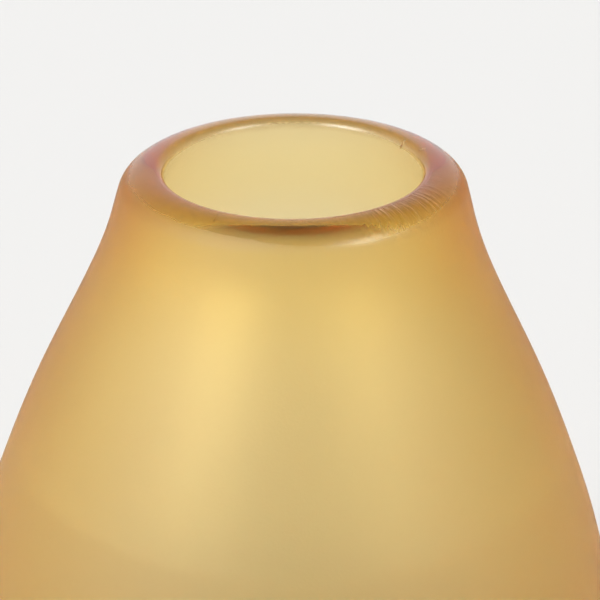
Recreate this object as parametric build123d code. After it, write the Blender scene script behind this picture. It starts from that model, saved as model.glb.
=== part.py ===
"""Hand-blown amber glass bud vase, in millimetres, standing on z = 0 with its axis along +Z.

The real vase is one piece of glass. It is divided here into the plain rings that a vase is named by,
from the foot up: base, heel, belly, shoulder and lip. They meet face to face and don't overlap.
Every ring is cut from one lathe outline, so a change to a driving dimension carries through them all.
"""

from build123d import *

import os

# Overall
HEIGHT = 135.0  # from the foot to the crest of the lip

# Lip: a thick rounded bead, steeper inside than outside
CREST_RADIUS = 19.5  # ring of the lip's highest points
THROAT_RADIUS = 18.1  # narrowest place of the mouth, inside the bead
INNER_ROLL_DEPTH = 1.3  # the crest down to the throat
OUTER_ROLL_WIDTH = 5.2  # the crest out to the widest place of the bead's curve
OUTER_ROLL_DEPTH = 4.2
OUTER_ROLL_END = 12.0  # degrees above the horizontal, where the roll runs on into the neck

# Shoulders, as places on the wall by radius and depth below the crest, from the neck down
SHOULDER_OUTSIDE = ((25.9, 8.4), (30.3, 19.6), (36.85, 33.6))
SHOULDER_INSIDE = ((18.9, 8.4), (24.3, 19.6), (31.5, 33.6))

# Belly: an arc from the shoulders to the widest part, and a quarter ellipse below it
BELLY_HEIGHT = 49.0
BELLY_RADIUS = 48.8
BELLY_WALL = 4.6  # the glass is thinnest here
BELLY_CURVE = 115.0  # radius of the arc, outside
BELLY_ARC = 20.0  # degrees of that arc

# Foot: the belly rounds under to a flat ring, and most of the glass lies in a heavy solid bottom over it
FOOT_RADIUS = 28.0  # outer edge of the flat ring that the vase stands on
PUNT_RADIUS = 19.0  # ground hollow inside that ring
PUNT_DEPTH = 1.6
FLOOR_RADIUS = 18.0  # level middle of the inner floor
FLOOR_HEIGHT = 26.0

# Heights at which one ring of the vase ends and the next begins
BASE_TOP = 28.0
HEEL_TOP = 46.0
BELLY_TOP = 84.0
SHOULDER_TOP = HEIGHT - 6.0


def lip_roll(width, depth, sweep):
    """The arc from the crest of the lip over to one side of the bead."""
    return EllipticalCenterArc((CREST_RADIUS, HEIGHT - depth), width, depth, start_angle=90, arc_size=sweep)


def belly_arc(inset):
    """The arc down to the widest part of the belly, on the outer wall or inset from it."""
    radius = BELLY_CURVE - inset
    centre = (BELLY_RADIUS - BELLY_CURVE, BELLY_HEIGHT)
    return CenterArc(centre, radius, start_angle=BELLY_ARC, arc_size=-BELLY_ARC)


def shoulder_wall(roll, places, belly):
    """The curve that joins a roll of the lip to the belly through the given places."""
    return Spline(
        roll @ 1,
        *[(radius, HEIGHT - depth) for radius, depth in places],
        belly @ 0,
        tangents=[roll % 1, belly % 0],
    )


def belly_turn(belly, end_radius, end_height):
    """The quarter ellipse that rounds from the belly under to a level end."""
    widest = belly @ 1
    return EllipticalCenterArc(
        (end_radius, widest.Y),
        widest.X - end_radius,
        widest.Y - end_height,
        start_angle=0,
        arc_size=-90,
    )


def outer_side():
    """The outline's outside, from the crest down to the edge of the foot."""
    roll = lip_roll(OUTER_ROLL_WIDTH, OUTER_ROLL_DEPTH, OUTER_ROLL_END - 90)
    belly = belly_arc(0)
    shoulder = shoulder_wall(roll, SHOULDER_OUTSIDE, belly)
    return [roll, shoulder, belly, belly_turn(belly, FOOT_RADIUS, 0)]


def inner_side():
    """The outline's inside, from the crest down to the middle of the inner floor."""
    roll = lip_roll(CREST_RADIUS - THROAT_RADIUS, INNER_ROLL_DEPTH, 90)
    belly = belly_arc(BELLY_WALL)
    shoulder = shoulder_wall(roll, SHOULDER_INSIDE, belly)
    floor = Line((FLOOR_RADIUS, FLOOR_HEIGHT), (0, FLOOR_HEIGHT))
    return [roll, shoulder, belly, belly_turn(belly, FLOOR_RADIUS, FLOOR_HEIGHT), floor]


def underside():
    """The foot's flat ring and the shallow punt within it."""
    ring = Line((FOOT_RADIUS, 0), (PUNT_RADIUS, 0))
    punt = ThreePointArc((-PUNT_RADIUS, 0), (0, PUNT_DEPTH), (PUNT_RADIUS, 0))
    return [ring, punt.trim(0.5, 1)]


def lathe_outline():
    """One half of the vase's cross-section, with the radius along x and the height along y."""
    axis = Line((0, PUNT_DEPTH), (0, FLOOR_HEIGHT))
    return make_face([*outer_side(), *inner_side(), *underside(), axis])


def ring_between(outline, low, high):
    """The solid of revolution of the outline's band from one height to another."""
    band = Pos(HEIGHT / 2, (low + high) / 2) * Rectangle(HEIGHT, high - low)
    return revolve(Plane.XZ * (outline & band), Axis.Z)


def vase_rings():
    """Each ring of the vase by name, from the foot up."""
    levels = {"base": BASE_TOP, "heel": HEEL_TOP, "belly": BELLY_TOP, "shoulder": SHOULDER_TOP, "lip": HEIGHT}
    outline = lathe_outline()
    rings = {}
    low = 0.0
    for name, high in levels.items():
        rings[name] = ring_between(outline, low, high)
        rings[name].label = name
        low = high
    return rings


os.makedirs("parts", exist_ok=True)
for name, ring in vase_rings().items():
    export_step(ring, f"parts/{name}.step")
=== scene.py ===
"""Looks of the amber glass bud vase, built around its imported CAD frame. Lengths are in metres."""

import math

import bmesh
import bpy
import numpy as np
from mathutils import Matrix, Quaternion, Vector


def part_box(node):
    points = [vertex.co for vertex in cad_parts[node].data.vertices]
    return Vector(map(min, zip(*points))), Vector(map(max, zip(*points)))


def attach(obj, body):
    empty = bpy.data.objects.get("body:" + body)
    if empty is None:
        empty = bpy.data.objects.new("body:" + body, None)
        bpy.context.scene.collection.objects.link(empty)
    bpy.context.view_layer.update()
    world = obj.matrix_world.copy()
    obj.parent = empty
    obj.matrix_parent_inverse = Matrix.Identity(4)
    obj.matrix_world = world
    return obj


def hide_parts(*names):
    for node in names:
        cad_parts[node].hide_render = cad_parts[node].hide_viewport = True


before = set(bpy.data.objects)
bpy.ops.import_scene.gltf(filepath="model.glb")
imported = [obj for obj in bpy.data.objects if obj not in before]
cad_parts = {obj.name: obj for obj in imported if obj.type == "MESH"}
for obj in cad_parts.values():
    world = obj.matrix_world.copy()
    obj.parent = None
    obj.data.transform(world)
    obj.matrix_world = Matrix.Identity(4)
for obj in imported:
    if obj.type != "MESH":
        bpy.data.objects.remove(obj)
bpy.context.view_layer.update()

MM = 0.001
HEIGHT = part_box("lip")[1][2]  # the crest of the lip

# Lip: a bead that was fire-polished smooth, steeper inside than outside
CREST_RADIUS = 19.5 * MM
THROAT_RADIUS = 18.1 * MM
INNER_ROLL_DEPTH = 1.3 * MM
OUTER_ROLL_WIDTH = 5.2 * MM
OUTER_ROLL_DEPTH = 4.2 * MM
OUTER_ROLL_END = math.radians(12)  # where the roll runs on into the neck

# Shoulders, as radius and depth below the crest in mm
SHOULDER_OUTSIDE = ((25.9, 8.4), (30.3, 19.6), (36.85, 33.6))
SHOULDER_INSIDE = ((18.9, 8.4), (24.3, 19.6), (31.5, 33.6))

# Belly and foot
BELLY_HEIGHT = 49.0 * MM
BELLY_RADIUS = 48.8 * MM
BELLY_WALL = 4.6 * MM
BELLY_CURVE = 115.0 * MM
BELLY_ARC = math.radians(20)
FOOT_RADIUS = 28.0 * MM
PUNT_RADIUS = 19.0 * MM
PUNT_DEPTH = 1.6 * MM
FLOOR_RADIUS = 18.0 * MM
FLOOR_HEIGHT = 26.0 * MM

# Mesh
RING_SEGMENTS = 360
OUTER_ROLL_STEPS = 44
INNER_ROLL_STEPS = 24
SHOULDER_STEPS = 44
BELLY_STEPS = 16
TURN_STEPS = 20
FOOT_STEPS = 4
PUNT_STEPS = 8
FLOOR_STEPS = 5
SEED_SUBDIVISIONS = 2

# Hand-made irregularity
MOUTH_TILT = math.radians(0.9)  # about Y, so that the lip drops towards -X
TILT_START = 18 * MM  # depth below the crest where the tilt has faded out

# Satin: the etched surface begins a little way down the outside of the lip, lower at the front.
# An azimuth is measured from the camera's side of the vase, + to the right.
ETCH_DEPTH = 0.7 * MM
ETCH_DIP = 1.2 * MM
ETCH_DIP_PLACE = math.radians(22)
ETCH_DIP_WIDTH = math.radians(38)
DULL_INSIDE_DEPTH = 45.0 * MM  # below the crest: the inside is polished above here and dull below
EDGE_WOBBLE = 0.5 * MM
EDGE_WOBBLE_SIZE = 3.0 * MM
EDGE_WOBBLE_DETAIL = 3.0
EDGE_FADE = 0.9 * MM
POLISHED_ROUGHNESS = 0.02
SATIN_ROUGHNESS = 0.6
GRAIN_SIZE = 0.4 * MM
GRAIN_HEIGHT = 0.02 * MM
GRAIN_DETAIL = 2.0

# Glass: the volume takes up (1 - tint) * density of each colour in every metre
GLASS_IOR = 1.5
GLASS_TINT = (0.979, 0.8, 0.11, 1)
GLASS_DENSITY = 145.0

# Tool marks: a patch of fine ridges on the lip, right of the camera's side
MARKS_PLACE = math.radians(46)
MARKS_WIDTH = math.radians(22)
MARKS_PITCH = 0.5 * MM
MARKS_HEIGHT = 0.22 * MM
MARKS_DETAIL = 2.0
MARKS_STRETCH = 0.25  # of the ridges, along the wall
MARKS_END = 7.0 * MM  # depth below the crest where they have faded out

# Seeds: small bubbles in the glass, as azimuth in degrees, radius, depth below the crest and size in mm
SEEDS = (
    (126, 20.0, 1.7, 0.2),
    (113, 20.1, 1.7, 0.22),
    (-74, 22.1, 2.9, 0.2),
    (-38, 20.6, 5.6, 0.14),
    (21, 33.6, 31.0, 0.2),
    (165, 35.5, 38.0, 0.2),
    (75, 30.1, 24.5, 0.15),
)

# Camera
CAMERA_RANGE = 560 * MM  # to the middle of the mouth
LENS = 240.0
SENSOR_WIDTH = 36.0
CLIP_END = 20.0
SIGHT_ELEVATION = math.radians(21.8)  # of the line from the camera to the mouth
MOUTH_ABOVE_AXIS = math.radians(1.914)  # the mouth is this far above the picture's middle
MOUTH_LEFT_OF_AXIS = math.radians(0.126)
CAMERA_ROLL = math.radians(0.66)

# Light, as azimuth from the camera's side (+ is to the right) and elevation in degrees, sharpness and
# strength. The strengths were set to suit a reference view of the vase and measure no real studio.
LIGHT_COLOUR = (1, 0.992, 0.978, 1)
SOFT_LIGHTS = (
    (180, 10, 4, 1.11),
    (-130, 10, 4, 0.29),
    (130, 10, 4, 0.25),
    (-85, 15, 4, 1.5),
    (85, 15, 4, 0.68),
    (0, 15, 4, 0.27),
    (-50, 35, 25, 13.0),
    (50, 35, 25, 7.2),
)

# Table: pale, with a dark patch of painted shade round the vase, chosen because it darkens the lower glass
# and the front of the lip, which look down on it
TABLE_REACH = 4.0
TABLE_ALBEDO = 0.685
# painted shade: the table's colour near the vase, and where it fades back to the pale table
PAINTED_SHADE_ALBEDO = 0.1
PAINTED_SHADE_START = 55 * MM
PAINTED_SHADE_END = 180 * MM
TABLE_ROUGHNESS = 0.9


def maths(owner, operation, first, second, third=None):
    """A Math node in the owner's node tree, with sockets or numbers as its inputs; gives its output."""
    node = owner.node_tree.nodes.new("ShaderNodeMath")
    node.operation = operation
    for i, value in enumerate((first, second, third)):
        if isinstance(value, bpy.types.NodeSocket):
            owner.node_tree.links.new(value, node.inputs[i])
        elif value is not None:
            node.inputs[i].default_value = value
    return node.outputs[0]


def toward(azimuth, elevation):
    """The direction of a light, from its azimuth and elevation in degrees."""
    turn, rise = math.radians(azimuth), math.radians(elevation)
    return (math.sin(turn) * math.cos(rise), -math.cos(turn) * math.cos(rise), math.sin(rise))


def ellipse_arc(centre, width, depth, start, end, steps):
    """Points of an elliptical arc, from one angle to another."""
    angles = np.linspace(start, end, steps + 1)
    return [(centre[0] + width * math.cos(a), centre[1] + depth * math.sin(a)) for a in angles]


def spline_through(points, first_direction, last_direction, steps):
    """A smooth cubic curve through the points, with its direction given at both ends."""
    p = np.array(points)
    knots = np.concatenate([[0], np.cumsum(np.linalg.norm(np.diff(p, axis=0), axis=1))])
    gaps = np.diff(knots)
    count = len(p)
    matrix = np.eye(count)
    target = np.zeros((count, 2))
    target[0] = Vector(first_direction).normalized()
    target[-1] = Vector(last_direction).normalized()
    for i in range(1, count - 1):
        before, after = gaps[i - 1], gaps[i]
        matrix[i, i - 1 : i + 2] = 1 / before, 2 / before + 2 / after, 1 / after
        target[i] = 3 * ((p[i] - p[i - 1]) / before**2 + (p[i + 1] - p[i]) / after**2)
    slopes = np.linalg.solve(matrix, target)
    curve = []
    for at in np.linspace(0, knots[-1], steps + 1):
        i = min(int(np.searchsorted(knots, at, side="right")) - 1, count - 2)
        t = (at - knots[i]) / gaps[i]
        curve.append(
            tuple(
                (2 * t**3 - 3 * t**2 + 1) * p[i]
                + (t**3 - 2 * t**2 + t) * gaps[i] * slopes[i]
                + (3 * t**2 - 2 * t**3) * p[i + 1]
                + (t**3 - t**2) * gaps[i] * slopes[i + 1]
            )
        )
    return curve


def direction(points, end):
    """The direction in which a list of points starts (end 0) or ends (end -1)."""
    first, second = (points[0], points[1]) if end == 0 else (points[-2], points[-1])
    return (second[0] - first[0], second[1] - first[1])


def joined(*stretches):
    """One list of points from several that meet end to end."""
    points = [stretches[0][0]]
    for stretch in stretches:
        points += stretch[1:]
    return points


def wall_side(roll, places, inset, end_radius, end_height):
    """One side of the wall from the crest of the lip down to the level glass at the bottom."""
    centre = (BELLY_RADIUS - BELLY_CURVE, BELLY_HEIGHT)
    reach = BELLY_CURVE - inset
    belly = ellipse_arc(centre, reach, reach, BELLY_ARC, 0, BELLY_STEPS)
    shoulder_points = [roll[-1], *[(r * MM, HEIGHT - d * MM) for r, d in places], belly[0]]
    shoulder = spline_through(shoulder_points, direction(roll, -1), direction(belly, 0), SHOULDER_STEPS)
    turn_centre = (end_radius, BELLY_HEIGHT)
    turn = ellipse_arc(
        turn_centre,
        BELLY_RADIUS - inset - end_radius,
        BELLY_HEIGHT - end_height,
        0,
        -math.pi / 2,
        TURN_STEPS,
    )
    return joined(roll, shoulder, belly, turn)


def outer_side():
    centre = (CREST_RADIUS, HEIGHT - OUTER_ROLL_DEPTH)
    roll = ellipse_arc(
        centre,
        OUTER_ROLL_WIDTH,
        OUTER_ROLL_DEPTH,
        math.pi / 2,
        OUTER_ROLL_END,
        OUTER_ROLL_STEPS,
    )
    return wall_side(roll, SHOULDER_OUTSIDE, 0, FOOT_RADIUS, 0)


def inner_side():
    centre = (CREST_RADIUS, HEIGHT - INNER_ROLL_DEPTH)
    width = CREST_RADIUS - THROAT_RADIUS
    roll = ellipse_arc(centre, width, INNER_ROLL_DEPTH, math.pi / 2, math.pi, INNER_ROLL_STEPS)
    return wall_side(roll, SHOULDER_INSIDE, BELLY_WALL, FLOOR_RADIUS, FLOOR_HEIGHT)


def underside():
    """Points from the foot's edge in to the middle of the punt, without the two ends."""
    ring = [(r, 0.0) for r in np.linspace(FOOT_RADIUS, PUNT_RADIUS, FOOT_STEPS + 1)[1:]]
    radii = np.linspace(PUNT_RADIUS, 0, PUNT_STEPS + 1)[1:-1]
    punt = [(r, PUNT_DEPTH * (1 - (r / PUNT_RADIUS) ** 2)) for r in radii]
    return ring + punt


def inner_floor():
    """Points from the level floor's edge in towards its middle."""
    return [(r, FLOOR_HEIGHT) for r in np.linspace(FLOOR_RADIUS, 0, FLOOR_STEPS + 1)[1:-1]]


def bell(angle, place, width):
    """1 at the place on the ring, falling smoothly to 0 either side of it."""
    apart = math.remainder(angle - place, 2 * math.pi)
    return math.exp(-((apart / width) ** 2))


def below_etch_line(depth, azimuth):
    """How far below the line where the satin begins a place on the outside lies."""
    return depth - ETCH_DEPTH - ETCH_DIP * bell(azimuth, ETCH_DIP_PLACE, ETCH_DIP_WIDTH)


def smooth(x):
    x = min(max(x, 0.0), 1.0)
    return x * x * (3 - 2 * x)


def shaped(radius, height, azimuth):
    """A place on the lathe form, moved as the hand-made glass is."""
    x = radius * math.sin(azimuth)
    y = -radius * math.cos(azimuth)
    near_mouth = smooth(1 - (HEIGHT - height) / TILT_START)
    return (x, y, height + x * math.sin(MOUTH_TILT) * near_mouth)


def lathe_faces(rows):
    """Faces of a closed form of that many rings, between a first and a last point on its axis."""
    last = 1 + rows * RING_SEGMENTS
    top = last - RING_SEGMENTS
    faces = []
    for i in range(RING_SEGMENTS):
        j = (i + 1) % RING_SEGMENTS
        faces.append((0, 1 + j, 1 + i))
        for low in range(1, top, RING_SEGMENTS):
            high = low + RING_SEGMENTS
            faces.append((low + i, low + j, high + j, high + i))
        faces.append((top + i, top + j, last))
    return faces


def build_glass_mesh():
    """The vase as one closed lathe mesh. Where it is satin or dull, and where the tool marks are, is
    written on its points."""
    under = list(reversed(underside()))
    outside = list(reversed(outer_side()))
    rings = [*under, *outside, *inner_side()[1:], *inner_floor()]
    outer_rings = len(under) + len(outside)
    azimuths = [2 * math.pi * i / RING_SEGMENTS for i in range(RING_SEGMENTS)]
    vertices = [(0, 0, PUNT_DEPTH)]
    etched = [HEIGHT]
    marked = [0.0]
    for row, (radius, height) in enumerate(rings):
        for azimuth in azimuths:
            vertices.append(shaped(radius, height, azimuth))
            is_outside = row < outer_rings
            depth = HEIGHT - height
            etched.append(below_etch_line(depth, azimuth) if is_outside else depth - DULL_INSIDE_DEPTH)
            around = bell(azimuth, MARKS_PLACE, MARKS_WIDTH)
            marked.append(around * smooth(1 - depth / MARKS_END) if is_outside else 0.0)
    vertices.append((0, 0, FLOOR_HEIGHT))
    etched.append(HEIGHT)
    marked.append(0.0)
    mesh = bpy.data.meshes.new("vase_glass")
    mesh.from_pydata(vertices, [], lathe_faces(len(rings)))
    mesh.attributes.new("below_etch_line", "FLOAT", "POINT").data.foreach_set("value", etched)
    mesh.attributes.new("tool_marks", "FLOAT", "POINT").data.foreach_set("value", marked)
    return mesh


def add_seeds(mesh):
    """Small round bubbles inside the glass: closed surfaces that face inwards."""
    glass = bmesh.new()
    glass.from_mesh(mesh)
    satin_layer = glass.verts.layers.float["below_etch_line"]
    for azimuth, radius, depth, size in SEEDS:
        place = shaped(radius * MM, HEIGHT - depth * MM, math.radians(azimuth))
        where = Matrix.Translation(place)
        seed = bmesh.ops.create_icosphere(
            glass,
            subdivisions=SEED_SUBDIVISIONS,
            radius=size * MM,
            matrix=where,
        )
        for vertex in seed["verts"]:
            vertex[satin_layer] = -HEIGHT
        bmesh.ops.reverse_faces(glass, faces=list({face for v in seed["verts"] for face in v.link_faces}))
    glass.to_mesh(mesh)
    glass.free()


def build_vase():
    mesh = build_glass_mesh()
    add_seeds(mesh)
    mesh.shade_smooth()
    vase = bpy.data.objects.new("vase_glass", mesh)
    bpy.context.scene.collection.objects.link(vase)
    return vase


def noise(owner, vector, size, detail):
    """The value of a noise texture whose bumps are about that size."""
    texture = owner.node_tree.nodes.new("ShaderNodeTexNoise")
    owner.node_tree.links.new(vector, texture.inputs["Vector"])
    texture.inputs["Scale"].default_value = 1 / size
    texture.inputs["Detail"].default_value = detail
    return texture.outputs["Fac"]


def attribute(owner, name):
    """The value of a number written on the mesh."""
    node = owner.node_tree.nodes.new("ShaderNodeAttribute")
    node.attribute_name = name
    return node.outputs["Fac"]


def between(owner, value, low, high, at_low, at_high):
    """The value carried from the range low to high over to the range at_low to at_high, and held there."""
    node = owner.node_tree.nodes.new("ShaderNodeMapRange")
    owner.node_tree.links.new(value, node.inputs["Value"])
    for name, number in zip(("From Min", "From Max", "To Min", "To Max"), (low, high, at_low, at_high)):
        node.inputs[name].default_value = number
    return node.outputs["Result"]


def along_the_lip(owner, place):
    """Coordinates that run round the axis and down the wall, in metres at the lip's crest."""
    nodes = owner.node_tree.nodes
    links = owner.node_tree.links
    parts = nodes.new("ShaderNodeSeparateXYZ")
    links.new(place, parts.inputs[0])
    azimuth = maths(owner, "ARCTAN2", parts.outputs["X"], parts.outputs["Y"])
    unrolled = nodes.new("ShaderNodeCombineXYZ")
    links.new(maths(owner, "MULTIPLY", azimuth, CREST_RADIUS), unrolled.inputs["X"])
    links.new(maths(owner, "MULTIPLY", parts.outputs["Z"], MARKS_STRETCH), unrolled.inputs["Y"])
    return unrolled.outputs[0]


def glass_material():
    """Amber glass, polished, and satin below the etch line and low down inside."""
    material = bpy.data.materials.new("amber_satin_glass")
    material.use_nodes = True
    nodes = material.node_tree.nodes
    links = material.node_tree.links
    glass = nodes["Principled BSDF"]
    glass.inputs["Base Color"].default_value = (1, 1, 1, 1)
    glass.inputs["Transmission Weight"].default_value = 1.0
    glass.inputs["IOR"].default_value = GLASS_IOR
    place = nodes.new("ShaderNodeTexCoord").outputs["Object"]

    wobble = noise(material, place, EDGE_WOBBLE_SIZE, EDGE_WOBBLE_DETAIL)
    line = maths(material, "MULTIPLY_ADD", wobble, EDGE_WOBBLE, attribute(material, "below_etch_line"))
    satin = between(material, line, EDGE_WOBBLE / 2, EDGE_WOBBLE / 2 + EDGE_FADE, 0, 1)
    roughness = between(material, satin, 0, 1, POLISHED_ROUGHNESS, SATIN_ROUGHNESS)
    links.new(roughness, glass.inputs["Roughness"])

    grain = maths(material, "MULTIPLY", noise(material, place, GRAIN_SIZE, GRAIN_DETAIL), satin)
    ridges = noise(material, along_the_lip(material, place), MARKS_PITCH, MARKS_DETAIL)
    marks = maths(material, "MULTIPLY", ridges, attribute(material, "tool_marks"))
    relief = maths(material, "MULTIPLY_ADD", marks, MARKS_HEIGHT / GRAIN_HEIGHT, grain)
    bump = nodes.new("ShaderNodeBump")
    bump.inputs["Distance"].default_value = GRAIN_HEIGHT
    links.new(relief, bump.inputs["Height"])
    links.new(bump.outputs["Normal"], glass.inputs["Normal"])

    absorption = nodes.new("ShaderNodeVolumeAbsorption")
    absorption.inputs["Color"].default_value = GLASS_TINT
    absorption.inputs["Density"].default_value = GLASS_DENSITY
    links.new(absorption.outputs["Volume"], nodes["Material Output"].inputs["Volume"])
    return material


def build_camera():
    mouth = Vector((0, 0, HEIGHT))
    back = Vector((0, -math.cos(SIGHT_ELEVATION), math.sin(SIGHT_ELEVATION)))
    camera = bpy.data.objects.new("camera", bpy.data.cameras.new("camera"))
    bpy.context.scene.collection.objects.link(camera)
    camera.data.sensor_width = SENSOR_WIDTH
    camera.data.lens = LENS
    camera.data.clip_end = CLIP_END
    camera.location = mouth + back * CAMERA_RANGE
    pitch = math.pi / 2 - SIGHT_ELEVATION - MOUTH_ABOVE_AXIS
    turn = Quaternion((0, 0, 1), -MOUTH_LEFT_OF_AXIS)
    tip = Quaternion((1, 0, 0), pitch)
    roll = Quaternion((0, 0, 1), CAMERA_ROLL)
    camera.rotation_mode = "QUATERNION"
    camera.rotation_quaternion = turn @ tip @ roll
    bpy.context.scene.camera = camera


def build_world():
    """The studio: broad soft lights all round, each fading smoothly away from its own direction."""
    world = bpy.data.worlds.new("studio")
    world.use_nodes = True
    nodes = world.node_tree.nodes
    links = world.node_tree.links
    sight = nodes.new("ShaderNodeTexCoord").outputs["Generated"]
    total = None
    for azimuth, elevation, sharpness, strength in SOFT_LIGHTS:
        facing = nodes.new("ShaderNodeVectorMath")
        facing.operation = "DOT_PRODUCT"
        links.new(sight, facing.inputs[0])
        facing.inputs[1].default_value = toward(azimuth, elevation)
        lit_side = maths(world, "MAXIMUM", facing.outputs["Value"], 0.0)
        lobe = maths(world, "POWER", lit_side, sharpness)
        light = maths(world, "MULTIPLY", lobe, strength)
        total = maths(world, "ADD", light, total if total else 0.0)
    links.new(total, nodes["Background"].inputs["Strength"])
    nodes["Background"].inputs["Color"].default_value = LIGHT_COLOUR
    bpy.context.scene.world = world


def build_floor():
    """A large pale table with a darker patch of painted shade round the vase."""
    corners = [(-TABLE_REACH, -TABLE_REACH), (TABLE_REACH, -TABLE_REACH)]
    corners += [(TABLE_REACH, TABLE_REACH), (-TABLE_REACH, TABLE_REACH)]
    mesh = bpy.data.meshes.new("floor")
    mesh.from_pydata([(x, y, 0) for x, y in corners], [], [(0, 1, 2, 3)])
    floor = bpy.data.objects.new("floor", mesh)
    bpy.context.scene.collection.objects.link(floor)
    material = bpy.data.materials.new("floor")
    material.use_nodes = True
    nodes = material.node_tree.nodes
    links = material.node_tree.links
    place = nodes.new("ShaderNodeTexCoord").outputs["Object"]
    distance = nodes.new("ShaderNodeVectorMath")
    distance.operation = "LENGTH"
    links.new(place, distance.inputs[0])
    # painted shade: the table's colour darkens from its pale albedo to a dark patch close to the vase
    painted_shade_fade = nodes.new("ShaderNodeMapRange")
    painted_shade_fade.interpolation_type = "SMOOTHSTEP"
    painted_shade_fade.inputs["From Min"].default_value = PAINTED_SHADE_START
    painted_shade_fade.inputs["From Max"].default_value = PAINTED_SHADE_END
    painted_shade_fade.inputs["To Min"].default_value = PAINTED_SHADE_ALBEDO
    painted_shade_fade.inputs["To Max"].default_value = TABLE_ALBEDO
    links.new(distance.outputs["Value"], painted_shade_fade.inputs["Value"])
    links.new(painted_shade_fade.outputs["Result"], nodes["Principled BSDF"].inputs["Base Color"])
    nodes["Principled BSDF"].inputs["Roughness"].default_value = TABLE_ROUGHNESS
    mesh.materials.append(material)


build_camera()
build_world()
build_floor()
bpy.context.scene.view_settings.view_transform = "Standard"

vase = build_vase()
vase.data.materials.append(glass_material())
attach(vase, "root")
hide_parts("base", "heel", "belly", "shoulder", "lip")
